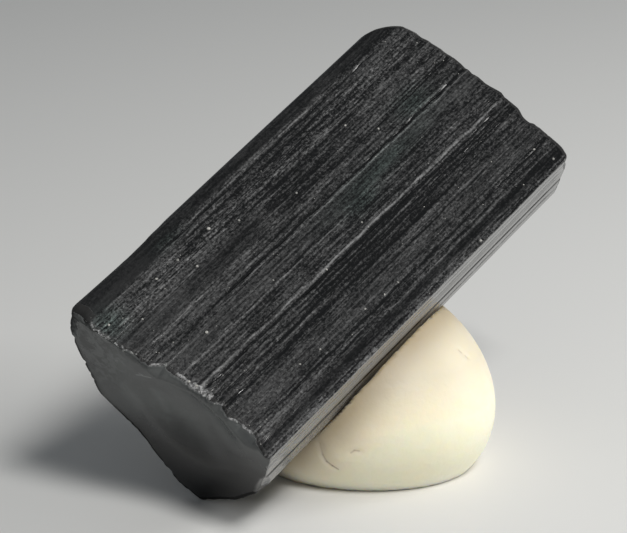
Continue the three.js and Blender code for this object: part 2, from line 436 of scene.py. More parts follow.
def lay_rows(low_end, high_end, heights=0.0, rim=SHARP, high_rim=SHARP):
    """Along, across and down of the rows, shaped rows by steps by three."""
    line = section[None, :, :] + outward[None, :, :] * np.asarray(heights)[..., None]
    line = np.broadcast_to(line, (ROWS, STEPS_ROUND, 2))
    low_line, high_line = line[LOW_RIM_ROW], line[HIGH_RIM_ROW]
    low_line = np.stack([flared(low_line[:, 0], 0), low_line[:, 1]], axis=1)
    high_line = np.stack([flared(high_line[:, 0], LENGTH), high_line[:, 1]], axis=1)
    start, end = low_end(*low_line.T), high_end(*high_line.T)
    rows = []
    for share in low_shares:
        rows.append(end_row(low_line, share, rim, low_end, 1))
    for i, share in enumerate(side_shares):
        length = share * (end - start)
        left = end - start - length
        near_low, in_low = round_the_rim(length, rim)
        near_high, in_high = round_the_rim(left, high_rim)
        along = np.where(share < 0.5, start + near_low, end - near_high)
        place = line[LOW_RIM_ROW + i] - outward * (in_low + in_high)[:, None]
        rows.append(np.column_stack([along, flared(place[:, 0], along), place[:, 1]]))
    for share in high_shares:
        rows.append(end_row(high_line, share, high_rim, high_end, -1))
    return np.array(rows)


# %% From the crystal to the frame
plain = lay_rows(plain_low_end, plain_high_end)
RISE, ROLL = math.radians(23.4), math.radians(33.0)
lean = np.array(Matrix.Rotation(-RISE, 3, "Y") @ Matrix.Rotation(ROLL, 3, "X"))
AXES = np.array([1.0, -1.0, -1.0])


def turned(places):
    """From along, across and down to the frame's axes, still in mm and not yet placed."""
    return (places * AXES) @ lean.T


low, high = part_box("crystal")
plain_points = turned(plain.reshape(-1, 3))
plain_box = np.array([plain_points.min(0), plain_points.max(0)])
origin = (np.array(low) + np.array(high)) / 2 / MM - plain_box.mean(0)
misfit = plain_box + origin - np.array([low, high]) / MM
print("the plain prism misses its CAD box by, in mm:", misfit.round(2).tolist())


def into_frame(places):
    """From along, across and down in mm to the frame in metres."""
    return (turned(places) + origin) * MM


# %% [markdown]
# ## Chips and bites
# Black tourmaline is brittle, and its rims lose small curved flakes. Each bite is an
# ellipsoid: the points inside it slide straight into the crystal until they lie on its far
# wall, which leaves a smooth hollow with a sharp edge and needs no cutting. The big ones are
# the same as the CAD solid's. Many small ones are then scattered along the two rims.

# %% Bites and chips
# middle as along, across and down; reach, half width and depth; the way in; freshness at most
BITES = (
    ((0.0, 21.3, 6.0), (2.0, 0.7, 2.6), (1.0, -0.6, 0.5), 0.3),
    ((4.5, -1.0, 1.2), (12.0, 1.0, 4.5), (0.0, 1.0, 0.25), 0.0),
)
# row of the rim, the way along that leads into the crystal, and how many chips
CHIPPED_RIMS = ((LOW_RIM_ROW, 1, 110), (HIGH_RIM_ROW, -1, 25))
CHIP_HALF = (0.07, 0.24)
CHIP_DEPTH = 0.35
CHIP_FRESH = 0.35
# The narrow side beside the broad face kept its low rim, and the far side lost bigger chips
SOUND_SIDE = (WIDTH, WIDTH + 7)
SCALLOPED_FROM, SCALLOP = WIDTH + 17, 1.9


def bite(places, middle, size, way):
    """Moves the places inside one ellipsoid along the way until they leave it."""
    off = (places - middle) / size
    inside = np.sum(off ** 2, axis=-1) < 1
    off, step = off[inside], way / size
    a, b, c = step @ step, off @ step, np.sum(off ** 2, axis=-1) - 1
    travel = (-b + np.sqrt(b * b - a * c)) / a
    places[inside] += travel[:, None] * way
    return inside, travel


def chip_rim(places, fresh, rim_row, inward, count):
    """Bites many small chips out of one rim, at random places round it."""
    rim = places[rim_row]
    for _ in range(count):
        k = rng.integers(0, STEPS_ROUND)
        if inward > 0 and SOUND_SIDE[0] < around[k] < SOUND_SIDE[1]:
            continue
        scallop = SCALLOP if inward > 0 and around[k] > SCALLOPED_FROM else 1.0
        wide = scallop * rng.uniform(*CHIP_HALF) * rng.uniform(0.6, 1.2)
        size = wide * np.array([rng.uniform(0.5, 1.1), 1.0, rng.uniform(0.5, 1.0)])
        way = np.array([0.8 * inward, -outward[k, 0], -outward[k, 1]])
        inside, travel = bite(places, rim[k] - CHIP_DEPTH * size * way, size, way)
        fresh[inside] = np.maximum(fresh[inside], np.clip(travel * 2, 0, CHIP_FRESH))


def bite_all(places):
    """All the bites. Returns how freshly broken each place is, from 0 to 1."""
    fresh = np.zeros(places.shape[:-1])
    for middle, size, way, most in BITES:
        inside, travel = bite(places, np.array(middle), np.array(size), np.array(way))
        fresh[inside] = np.maximum(fresh[inside], np.clip(travel * 2, 0, most))
    for rim_row, inward, count in CHIPPED_RIMS:
        chip_rim(places, fresh, rim_row, inward, count)
    return fresh


# %% [markdown]
# ## From a sheet to a piece
# The crystal and the putty both start as a flat grid that knows the row and the step round of
# each of its points. Moving the points rolls the grid up, and merging the points that then lie
# on each other closes the seam and both ends. Numbers kept at the points, such as how worn the
# stone is there, stay with the mesh, and a material reads them by name. A painted colour layer
# could carry them too, but four at a time and without names.

# %% Helpers for sheets and pieces
def points_of(bm):
    """The places of a bmesh's vertices as one array."""
    return np.array([v.co for v in bm.verts])


def move_points(bm, places):
    """Puts each vertex of a bmesh at its row of the array."""
    for vertex, place in zip(bm.verts, places):
        vertex.co = place


def rolled_sheet(steps, rows):
    """A flat sheet of points, with the number of the row and of the step round of each."""
    bm = bmesh.new()
    bmesh.ops.create_grid(bm, x_segments=steps, y_segments=rows + 1, size=0.5)
    across, up = (points_of(bm)[:, :2] + 0.5).T
    row = np.rint(up * (rows + 1)).astype(int)
    return bm, row, np.rint(across * steps).astype(int) % steps


def close_sheet(bm):
    """Welds the seam of a rolled sheet and gathers its first and last row to a point."""
    bmesh.ops.remove_doubles(bm, verts=bm.verts, dist=1e-7)


def put_numbers(bm, name, values):
    """A number or a place at every vertex, which a material can read by its name."""
    kinds = bm.verts.layers.float_vector if values.ndim == 2 else bm.verts.layers.float
    layer = kinds.new(name)
    for vertex, value in zip(bm.verts, values.tolist()):
        vertex[layer] = value


def make_piece(name, bm, body="root"):
    """A finished mesh object from a bmesh, smooth shaded, with its faces pointing out, that
    rides on a body of the frame unless that is None."""
    bmesh.ops.recalc_face_normals(bm, faces=bm.faces)
    for face in bm.faces:
        face.smooth = True
    mesh = bpy.data.meshes.new(name)
    bm.to_mesh(mesh)
    bm.free()
    piece = bpy.data.objects.new(name, mesh)
    bpy.context.scene.collection.objects.link(piece)
    if body:
        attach(piece, body)
    print(name, "has", len(mesh.vertices), "vertices and", len(mesh.polygons), "faces")
    return piece


# %% [markdown]
# ## Build the crystal
# The low rim of the real crystal has crumbled: flakes broke back from the broad face, and light
# crumbs still cling to the edge. The high rim is worn round instead. One sharp bevel would suit
# neither, so the low end gets a crumbled outline from a short table with fine random steps on
# it, and each rim gets a rounding that varies round the crystal.

# %% Striae and the rounding of the rims
RIM_ROUNDING, RIM_WAVE = 0.14, 1.4
ROUNDING_LIMITS = (0.05, 0.3)
WORN_CORNER = 0.95
HIGH_ROUNDING, HIGH_WAVE = 0.45, 2.5
# The striae are sunk a little, so that none stands above the plain face, and they fade over the
# last stretch of the crystal
SUNK, SUNK_AT_LEAST = 0.03, 0.01
FADE_OVER, FADE = 2.5, 0.75


def ripples(across, down, length, count=9):
    """Soft uneven waves of about the given length, from -1 to 1."""
    total = np.zeros(np.broadcast(across, down).shape)
    for _ in range(count):
        angle, phase = rng.uniform(0, math.tau, 2)
        turn = math.tau / (length * rng.uniform(0.7, 1.6))
        total += np.cos((across * math.cos(angle) + down * math.sin(angle)) * turn + phase)
    return total / math.sqrt(count * 2)


lengths = np.clip(plain[..., 0], 0, LENGTH)
heights, tone, show = stria_heights(lengths)
heights = np.minimum(heights - SUNK, -SUNK_AT_LEAST)
heights *= 1 - FADE * smooth_step(LENGTH - FADE_OVER, LENGTH, lengths)
rim = RIM_ROUNDING * (1 + 0.5 * ripples(around, 0 * around, RIM_WAVE))
rim = np.clip(rim, *ROUNDING_LIMITS)
# 1 at the corner where the line round the section starts and ends
at_corner = np.maximum(fade_out(0.9, 2.4, around), smooth_step(girth - 4.0, girth - 1.5, around))
rim += (WORN_CORNER - rim) * at_corner
high_rim = HIGH_ROUNDING + 0.12 * ripples(around, 0 * around, HIGH_WAVE)
print("the striae reach", round(float(-heights.min()), 2), "mm deep, and the low rim is rounded",
      "from", round(float(rim.min()), 2), "to", round(float(rim.max()), 2), "mm")


# %% The crumbled low end and the worn high end
# across, and how far the edge has crumbled back
CRUMBLED = np.array([
    (1.0, 0.0), (2.1, -0.1), (3.2, -0.2), (4.2, -0.06), (5.4, -0.05), (6.0, 0.04), (6.8, 0.28),
    (7.6, 0.12), (8.2, 0.2), (8.6, 0.55), (9.2, 1.1), (9.8, 0.75), (11.0, 0.6), (11.8, 0.3),
    (13.0, 0.3), (14.0, 0.35), (14.6, 0.5), (14.9, 0.85), (15.3, 0.6), (16.2, 0.35),
    (16.6, 0.6), (17.2, 0.8), (18.6, 0.85), (19.1, 0.5), (19.6, 0.2), (20.4, -0.25),
    (21.3, -0.4)])
JAGS = 90
HIGH_JAG_STRETCH = 2.2
CLEAR = 0.08
jag_places = np.cumsum(rng.uniform(0.12, 0.45, JAGS))
jag_steps = rng.normal(0, 0.07, JAGS)
high_jag_steps = rng.normal(0, 0.05, JAGS)


def low_end(across, down):
    """How far along the low break lies, with its swells and its crumbled edge."""
    crumbled = np.interp(across, CRUMBLED[:, 0], CRUMBLED[:, 1])
    crumbled = crumbled + np.interp(across, jag_places, jag_steps)
    reach = 0.55 + 0.45 * np.maximum(crumbled, 0)
    fade = np.clip(1 - down / reach, 0, 1) ** 1.3
    return plain_low_end(across, down) + low_waves(across, down) + crumbled * fade


def low_waves(across, down):
    """Soft swells of the low break, from cosines so that every row reads the same surface."""
    swell = 0.04 * np.cos(across * 0.7 + 0.6) * np.cos(down * 0.6 - 0.4)
    swell += 0.02 * np.cos(across * 0.5 - down * 1.3 + 1.0)
    swell += 0.006 * np.cos(across * 2.3 + down * 2.9)
    return swell * smooth_step(-0.5, 3.0, down) + 0.03


def high_end(across, down):
    """How far along the high end lies, with its stepped rim."""
    jag = np.interp(across, HIGH_JAG_STRETCH * jag_places, high_jag_steps)
    jag *= fade_out(0.2, 1.6, down)
    swell = 0.05 * smooth_step(0, 2, down) * (1 + np.cos(across * 1.3) * np.cos(down * 1.1))
    return plain_high_end(across, down) + jag - CLEAR - swell


# %% Lay the rows and bite them
places = lay_rows(low_end, high_end, heights, rim, high_rim)
fresh = bite_all(places)
print("bites and chips moved", int(np.count_nonzero(fresh)), "points")

# %% Where the stone is worn or crumbled
# Light crumbs on the near edge: from and to across, how far onto the broad face, how light
CRUMBS = (
    (1.6, 2.6, 0.5, 0.5), (2.6, 4.3, 0.35, 0.7), (4.3, 6.9, 0.14, 0.7), (8.2, 9.3, 0.35, 0.8),
    (10.3, 12.1, 0.45, 0.8), (11.9, 14.0, 0.75, 0.9), (14.3, 15.2, 0.3, 0.7),
    (16.1, 18.6, 0.14, 0.9), (18.4, 19.0, 0.7, 0.5),
)
edge_row = places[LOW_RIM_ROW]
to_rim = np.minimum(np.linalg.norm(places - edge_row, axis=2),
                    np.linalg.norm(places - places[HIGH_RIM_ROW], axis=2))
low_half = lengths < LENGTH / 2
worn_rim = fade_out(0.2, 0.5, to_rim)
# The low rim of the narrow side is sound, and the corner of the low end is worn further in
worn_rim = worn_rim * (1 - between(around, WIDTH + 0.3, WIDTH + 7, 0.3) * low_half)
corner_patch = (at_corner > 0.3) * low_half * fade_out(0.95, 1.1, to_rim)
worn_rim = np.maximum(worn_rim, corner_patch)
from_edge = places[..., 0] - edge_row[None, :, 0]
below = places[..., 2]
crumbs = np.zeros(fresh.shape)
for low, high, reach, lightness in CRUMBS:
    on_edge = between(places[..., 1], low, high, 0.12) * fade_out(0.08, 0.16, below)
    on_edge *= fade_out(reach * 0.4, reach * 1.4, from_edge)
    crumbs = np.maximum(crumbs, on_edge * lightness)
fresh = np.maximum(fresh, crumbs)
print("worn points:", int(np.count_nonzero(worn_rim > 0.5)), "and crumbled points:",
      int(np.count_nonzero(crumbs > 0.1)))


# %% Roll up the crystal
def spread(values, low_pole, high_pole):
    """Values by row and step, given out to the sheet's vertices, with one value for each end."""
    shaped = np.concatenate([
        np.broadcast_to(low_pole, (1,) + values.shape[1:]), values,
        np.broadcast_to(high_pole, (1,) + values.shape[1:])])
    return shaped[row, step]


low_pole = np.array([low_end(*MIDDLE), *MIDDLE])
high_pole = np.array([high_end(*MIDDLE), *MIDDLE])
bm, row, step = rolled_sheet(STEPS_ROUND, ROWS)
move_points(bm, into_frame(spread(places, low_pole, high_pole)))

# %% [markdown]
# ## Numbers for the crystal's materials
# The sides are striped and glossy, the breaks are smooth and slaty, and both change from place
# to place. The formulas that shaped the stone already know where each line, band and worn edge
# is, so they are kept as numbers at the points. Painting them by hand would never line up with
# the shape. Most of them are 0 to 1. The tone is how much lighter or darker a place is.

# %% Tones and patches
# Greenish patches of the broad face: along, across, half length, half width
GREEN = (
    (30.0, 9.7, 6.5, 0.9), (38.0, 7.5, 2.2, 1.2), (10.5, 1.1, 1.6, 0.6),
    (1.0, 3.0, 1.5, 1.6), (26.0, 11.0, 2.0, 0.8),
)
RIM_SHADE, HIGH_RIM_SHADE, BORDER_SHADE = 0.10, 0.25, 0.4
HIGH_END_TONE, POLE_TONE = 0.7, 0.8
on_end = np.ones((ROWS, STEPS_ROUND))
on_end[LOW_RIM_ROW:HIGH_RIM_ROW + 1] = 0
surface = np.broadcast_to(around[None, :], (ROWS, STEPS_ROUND))
tone = tone - worn_rim * np.where(lengths > LENGTH / 2, HIGH_RIM_SHADE, RIM_SHADE)
# Painted shade: the breaks are darker towards their foot, which mirrors the shadow on the floor.
# They are also a little darker along their far rims
painted_foot_shade = smooth_step(7.5, 13.5, 0.45 * places[..., 1] + 0.75 * places[..., 2])
high_side = places[..., 0] > LENGTH / 2
dark_border = BORDER_SHADE * fade_out(0.1, 1.1, to_rim) * (around > WIDTH + 9)
end_tone = np.where(high_side, HIGH_END_TONE - 0.3 * painted_foot_shade, 1 - painted_foot_shade) - dark_border
tone = np.where(on_end > 0.5, np.maximum(end_tone, 0), tone)
mottled = fade_out(3.0, 8.0, places[..., 1]) * fade_out(5.0, 9.0, places[..., 2])
green = sum(np.exp(-((places[..., 0] - x) / long) ** 2 - ((surface - w) / wide) ** 2)
            for x, w, long, wide in GREEN)
print("tones run from", round(float(tone.min()), 2), "to", round(float(tone.max()), 2))

# %% Numbers at the points
# On the sides, a place is read as along and around, so that patterns follow the striae
own_places = places.copy()
own_places[..., 1] = np.where(on_end > 0.5, places[..., 1], surface)
own_places[..., 2] = np.where(on_end > 0.5, places[..., 2], 0)
# The tone also carries painted light and shade: the lines and bands of the sides and the foot of
# the breaks
put_numbers(bm, "tone", spread(tone, POLE_TONE, POLE_TONE))
put_numbers(bm, "texture", spread(np.where(on_end > 0.5, mottled, show), 0, 0))
put_numbers(bm, "green", spread(green * (1 - on_end), 0, 0))
put_numbers(bm, "fresh_break", spread(fresh, 0, 0))
put_numbers(bm, "worn_rim", spread(worn_rim, 0, 0))
put_numbers(bm, "end_face", spread(on_end, 1, 1))
put_numbers(bm, "own_place", spread(own_places, low_pole, high_pole))
close_sheet(bm)

# %% The crystal as a piece
end_layer = bm.verts.layers.float["end_face"]
for face in bm.faces:
    face.material_index = int(all(v[end_layer] > 0.5 for v in face.verts))
crystal = make_piece("tourmaline_crystal", bm)
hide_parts("crystal")

# %% [markdown]
# ## Materials
# Small helpers keep the node trees readable: one adds a node, one does a sum, one reads a number
# of the mesh by its name, and so on. Drawing the trees by hand in the Shader Editor would give
# the same materials, but a script can be read from top to bottom.

# %% Node helpers
def add_node(tree, kind, **settings):
    """Adds a node. Settings are its properties, and a name of an input sets that input."""
    node = tree.nodes.new(kind)
    for name, value in settings.items():
        if hasattr(node, name):
            setattr(node, name, value)
        else:
            node.inputs[name.replace("_", " ")].default_value = value
    return node


def sum_of(tree, operation, first, second, clamp=False):
    """A Math node. Each side is a number or a socket."""
    node = add_node(tree, "ShaderNodeMath", operation=operation, use_clamp=clamp)
    for socket, value in zip(node.inputs, (first, second)):
        if isinstance(value, (int, float)):
            socket.default_value = value
        else:
            tree.links.new(value, socket)
    return node.outputs[0]


def vector_sum(tree, operation, first, second, output=0):
    """A Vector Math node on two sockets."""
    node = add_node(tree, "ShaderNodeVectorMath", operation=operation)
    tree.links.new(first, node.inputs[0])
    tree.links.new(second, node.inputs["Scale" if operation == "SCALE" else 1])
    return node.outputs[output]


def read(tree, name, output="Fac"):
    """A vertex number or place, by its name."""
    return add_node(tree, "ShaderNodeAttribute", attribute_name=name).outputs[output]


def stretched(tree, vector, scale):
    """A place with each axis scaled."""
    node = add_node(tree, "ShaderNodeMapping", vector_type="POINT")
    node.inputs["Scale"].default_value = scale
    tree.links.new(vector, node.inputs["Vector"])
    return node.outputs[0]


def noise(tree, vector, scale=1.0, detail=2.0, roughness=0.5, distortion=0.0):
    """A Noise Texture read at a place."""
    node = add_node(tree, "ShaderNodeTexNoise", Scale=scale, Detail=detail,
                    Roughness=roughness, Distortion=distortion)
    tree.links.new(vector, node.inputs["Vector"])
    return node.outputs[0]


# %% Helpers for ramps, mixes and materials
def ramp(tree, value, stops):
    """A colour ramp. Stops are pairs of place and grey or colour."""
    node = add_node(tree, "ShaderNodeValToRGB")
    elements = node.color_ramp.elements
    while len(elements) < len(stops):
        elements.new(0.5)
    for element, (place, colour) in zip(elements, stops):
        element.position = place
        element.color = (*((colour,) * 3 if isinstance(colour, float) else colour), 1)
    tree.links.new(value, node.inputs[0])
    return node.outputs[0]


def blend(tree, share, first, second, kind="MIX"):
    """Mixes two colours, each a socket or a colour."""
    node = add_node(tree, "ShaderNodeMix", data_type="RGBA", blend_type=kind)
    sockets = (node.inputs[0], node.inputs[6], node.inputs[7])
    for socket, value in zip(sockets, (share, first, second)):
        if isinstance(value, bpy.types.NodeSocket):
            tree.links.new(value, socket)
        else:
            socket.default_value = value if isinstance(value, float) else (*value, 1)
    return node.outputs[2]


def new_material(name, **settings):
    """A material with one Principled shader. Returns the material, its tree and shader."""
    material = bpy.data.materials.new(name)
    material.use_nodes = True
    tree = material.node_tree
    shader = tree.nodes["Principled BSDF"]
    for socket, value in settings.items():
        shader.inputs[socket.replace("_", " ")].default_value = value
    return material, tree, shader


def bump(tree, shader, height, distance):
    """Roughens the surface of a shader by a height, up to a distance in metres."""
    node = add_node(tree, "ShaderNodeBump", Distance=distance, Strength=1.0)
    tree.links.new(height, node.inputs["Height"])
    tree.links.new(node.outputs[0], shader.inputs["Normal"])


def dress(piece, material):
    """Gives a piece its next material, and says how many nodes that took."""
    piece.data.materials.append(material)
    print(material.name, "has", len(material.node_tree.nodes), "nodes")


# %% [markdown]
# ## Effects that several finishes share
# Crushed stone is light grey wherever a flake came off. The polish of the stone is dulled only
# where a rim is worn. A bruise and a crease in putty are both a short soft stroke between two
# places. Each is a node group with its own inputs, built once. The same nodes could be copied
# into every material, but then a change would have to be made in all of them.

# %% Node groups
def new_group(name, inputs, outputs):
    """An empty node group with named sockets. Returns its tree and the two ends inside."""
    group = bpy.data.node_groups.new(name, "ShaderNodeTree")
    for in_out, sockets in (("INPUT", inputs), ("OUTPUT", outputs)):
        for socket, kind in sockets.items():
            group.interface.new_socket(socket, in_out=in_out, socket_type="NodeSocket" + kind)
    given = add_node(group, "NodeGroupInput").outputs
    result = add_node(group, "NodeGroupOutput").inputs
    return group, given, result


def use_group(tree, group, **values):
    """Puts a group in a tree. Each value is a socket, a number or a place."""
    node = tree.nodes.new("ShaderNodeGroup")
    node.node_tree = group
    for name, value in values.items():
        if isinstance(value, bpy.types.NodeSocket):
            tree.links.new(value, node.inputs[name])
        else:
            node.inputs[name].default_value = value
    return node.outputs[0]


# %% Crushed stone
CRUSHED, given, result = new_group(
    "crushed_stone", {"Colour": "Color", "Place": "Vector", "Fresh": "Float"}, {"Colour": "Color"})
speck_place = stretched(CRUSHED, given["Place"], (3.2, 3.2, 3.2))
speck = noise(CRUSHED, speck_place, detail=3.0, roughness=0.7)
crushed = ramp(CRUSHED, speck, ((0.38, 0.04), (0.5, 0.14), (0.62, 0.32)))
share = sum_of(CRUSHED, "MULTIPLY", given["Fresh"], speck)
share = sum_of(CRUSHED, "MULTIPLY", sum_of(CRUSHED, "SUBTRACT", share, 0.22), 6.0, clamp=True)
CRUSHED.links.new(blend(CRUSHED, share, given["Colour"], crushed), result["Colour"])
print("crushed_stone has", len(CRUSHED.nodes), "nodes")

# %% The gloss of the stone
GLOSS, given, result = new_group(
    "stone_gloss", {"Grain": "Float", "Polish": "Float", "Worn": "Float"}, {"Roughness": "Float"})
rough = sum_of(GLOSS, "ADD", sum_of(GLOSS, "MULTIPLY", given["Grain"], 0.10), given["Polish"])
worn = sum_of(GLOSS, "MULTIPLY", sum_of(GLOSS, "SUBTRACT", given["Worn"], 0.45), 8.0, clamp=True)
rough = sum_of(GLOSS, "ADD", rough, sum_of(GLOSS, "MULTIPLY", worn, 0.8))
GLOSS.links.new(rough, result["Roughness"])
print("stone_gloss has", len(GLOSS.nodes), "nodes")

# %% A light stroke
STROKE, given, result = new_group(
    "light_stroke", {"Place": "Vector", "Start": "Vector", "Run": "Vector", "Half": "Float"},
    {"Share": "Float"})
off = vector_sum(STROKE, "SUBTRACT", given["Place"], given["Start"])
ahead = vector_sum(STROKE, "DOT_PRODUCT", off, given["Run"], "Value")
whole = vector_sum(STROKE, "DOT_PRODUCT", given["Run"], given["Run"], "Value")
part = sum_of(STROKE, "DIVIDE", ahead, whole, clamp=True)
nearest = vector_sum(STROKE, "SUBTRACT", off, vector_sum(STROKE, "SCALE", given["Run"], part))
nowhere = stretched(STROKE, given["Run"], (0.0, 0.0, 0.0))
apart = vector_sum(STROKE, "DISTANCE", nearest, nowhere, "Value")
apart = sum_of(STROKE, "DIVIDE", apart, given["Half"])
STROKE.links.new(sum_of(STROKE, "SUBTRACT", 1.0, apart, clamp=True), result["Share"])
print("light_stroke has", len(STROKE.nodes), "nodes")

# %% [markdown]
# ## The striped sides
# Black tourmaline is nearly black, and its striae show as greys because each facet catches the
# light at its own angle. Facets fine enough for that would need millions of points. So the facets
# that are modelled carry the larger lines, and the light that the finest ones catch is painted
# into the colour by stretched noise, as a grey that runs along the crystal. Roughness stays low,
# for the stone is as glossy as glass.

# %% Striped tourmaline
def greys(*levels):
    """Ramp stops at even places for even steps of lightness, as the eye sees them."""
    return [(k / (len(levels) - 1), float(level)) for k, level in enumerate(levels)]


TONE_SHARE = 1.15
MIDDLE_LIGHT = 0.285
GREEN_SHARE, GREEN_TINT = 0.55, (0.62, 0.98, 0.86)
STRIPED_POLISH, BROKEN_POLISH = 0.08, 0.15
STONE = greys(0.0003, 0.0025, 0.0095, 0.0185, 0.0305, 0.0455,
              0.0635, 0.085, 0.108, 0.135, 0.166, 0.20)


def finish_stone(tree, shader, colour, place, grain, polish):
    """Crushed stone over the colour, and the gloss of the stone with its worn rims."""
    crushed = use_group(tree, CRUSHED, Colour=colour, Place=place, Fresh=read(tree, "fresh_break"))
    tree.links.new(crushed, shader.inputs["Base Color"])
    gloss = use_group(tree, GLOSS, Grain=grain, Polish=polish, Worn=read(tree, "worn_rim"))
    tree.links.new(gloss, shader.inputs["Roughness"])


material, tree, shader = new_material("striped_tourmaline", IOR=1.63, Specular_IOR_Level=0.45)
own_place = read(tree, "own_place", "Vector")
# stretch along and across, octaves, warp, and share
textures = (
    ((0.06, 3.2, 1.0), 2.0, 0.0, 1.05),
    ((0.25, 5.2, 1.0), 2.0, 0.3, 0.90),
    ((1.2, 3.9, 1.0), 2.0, 0.8, 0.65),
    ((3.7, 4.8, 1.0), 2.0, 0.8, 1.40),
    ((0.25, 0.6, 1.0), 3.0, 0.5, 0.50),
)
light = 0.0
made = []
for stretch, octaves, warp, share in textures:
    made.append(noise(tree, stretched(tree, own_place, stretch), detail=octaves,
                      roughness=0.6, distortion=warp))
    centred = sum_of(tree, "MULTIPLY", sum_of(tree, "SUBTRACT", made[-1], 0.5), share)
    light = sum_of(tree, "ADD", light, centred)
light = sum_of(tree, "MULTIPLY", light, read(tree, "texture"))
light = sum_of(tree, "ADD", light, sum_of(tree, "MULTIPLY", read(tree, "tone"), TONE_SHARE))
light = sum_of(tree, "ADD", light, MIDDLE_LIGHT, clamp=True)
stone = ramp(tree, light, STONE)
green_share = sum_of(tree, "MULTIPLY", read(tree, "green"), GREEN_SHARE, clamp=True)
greened = blend(tree, green_share, stone, GREEN_TINT, "MULTIPLY")
finish_stone(tree, shader, greened, own_place, made[3], STRIPED_POLISH)
bump(tree, shader, made[2], 0.006 * MM)
dress(crystal, material)

# %% [markdown]
# ## The broken ends
# A fresh break of tourmaline is smooth and slaty, with cloudy patches and a few bruises where it
# was knocked. Its foot is painted nearly black, as painted shade for the floor's shadow that it
# mirrors.
# The patches are noise, and each bruise is one light stroke. Two more wide, faint strokes are
# painted light over the scoop. Bruises could be cut into the mesh, but they are only a powdery
# mark on the surface, so a change of colour is truer.

# %% Broken tourmaline
# Small bruises of the low end, and as the last two, painted light over the scoop:
# start and run in across and down, half width and strength
STROKES = (
    ((0, 7.40, 2.40), (0, 0.55, -0.60), 0.12, 0.7),
    ((0, 7.95, 1.90), (0, 0.75, -0.45), 0.11, 0.8),
    ((0, 7.60, 1.85), (0, 0.30, -0.10), 0.10, 0.6),
    ((0, 5.20, 2.60), (0, 0.25, -0.30), 0.10, 0.5),
    ((0, 9.10, 3.40), (0, 1.60, 2.10), 0.50, 0.16),
    ((0, 12.5, 4.90), (0, 3.30, 0.60), 1.7, 0.10),
)
BRUISE_AND_PAINTED_LIGHT = (0.22, 0.23, 0.23)
material, tree, shader = new_material("broken_tourmaline", IOR=1.63, Specular_IOR_Level=0.26)
own_place = read(tree, "own_place", "Vector")
grain = noise(tree, own_place, scale=3.0, detail=3.0, roughness=0.7)
patches = noise(tree, own_place, scale=0.3, detail=3.0, distortion=0.5)
mixed = sum_of(tree, "ADD", sum_of(tree, "MULTIPLY", patches, 0.8),
               sum_of(tree, "MULTIPLY", grain, 0.2))
# The tone number goes from painted shade, nearly black, at the foot to slate at the top
shaded_foot_colour = ramp(tree, mixed, ((0.3, (0.001, 0.001, 0.001)), (0.7, (0.006, 0.006, 0.006))))
slate = ramp(tree, mixed, ((0.3, (0.064, 0.066, 0.067)), (0.7, (0.108, 0.115, 0.113))))
stone = blend(tree, read(tree, "tone"), shaded_foot_colour, slate)
mottle = ramp(tree, noise(tree, own_place, scale=1.3, detail=4.0, roughness=0.65, distortion=0.6),
              ((0.46, 0.35), (0.56, 1.0)))
stone = blend(tree, sum_of(tree, "MULTIPLY", read(tree, "texture"), 0.8), stone,
              blend(tree, 1.0, stone, mottle, "MULTIPLY"))
flat_place = stretched(tree, own_place, (0.0, 1.0, 1.0))
along_it = add_node(tree, "ShaderNodeSeparateXYZ")
tree.links.new(own_place, along_it.inputs[0])
on_low_end = sum_of(tree, "LESS_THAN", along_it.outputs["X"], LENGTH / 2)
for start, run, half, strength in STROKES:
    stroke = use_group(tree, STROKE, Place=flat_place, Start=start, Run=run, Half=half)
    stroke = sum_of(tree, "MULTIPLY", sum_of(tree, "MULTIPLY", stroke, strength), on_low_end)
    stone = blend(tree, stroke, stone, BRUISE_AND_PAINTED_LIGHT)
finish_stone(tree, shader, stone, own_place, grain, BROKEN_POLISH)
bump(tree, shader, grain, 0.008 * MM)
dress(crystal, material)

# %% [markdown]
# ## Dust on the crystal
# Black stone shows every crumb. A few pale crumbs of the putty and many finer specks lie in the
# striae of the broad face. Each is a tiny ball with a few dozen faces, squashed and turned by
# chance, and all of them are one mesh. Scattered copies of one ball would take less memory, but
# they would all have the same outline.

# %% Pale crumbs and specks
# along, across, and size from side to side
CRUMBS_SEEN = (
    (14.3, 3.1, 0.46), (7.0, 3.2, 0.34), (9.7, 3.2, 0.32), (3.3, 4.9, 0.36), (10.4, 4.8, 0.28),
    (16.5, 4.4, 0.32), (1.3, 11.6, 0.34), (1.6, 12.3, 0.36), (0.9, 3.3, 0.26), (6.2, 9.6, 0.44),
    (31.6, 4.7, 0.32), (33.1, 7.1, 0.34), (17.3, 17.9, 0.32), (21.9, 18.3, 0.30),
    (30.4, 21.0, 0.40), (42.0, 18.6, 0.34), (9.5, 17.2, 0.26), (18.1, 13.0, 0.28),
    (22.4, 6.2, 0.24), (14.0, 10.4, 0.28), (20.2, 18.2, 0.24), (11.6, 17.6, 0.24),
    (24.0, 12.2, 0.26), (42.4, 20.5, 0.30), (38.0, 20.2, 0.22), (3.4, 8.2, 0.22),
)
CRUMB_SHARE = 0.8
SPECKS = 90
SPECK_SIZE = (0.05, 0.13)
FLATNESS = 0.28
face_rows = places[LOW_RIM_ROW + 3:HIGH_RIM_ROW - 2]
on_broad_face = (section[:, 1] < 0.01) & (section[:, 0] > 1.5) & (section[:, 0] < 21)
face_steps = np.flatnonzero(on_broad_face)


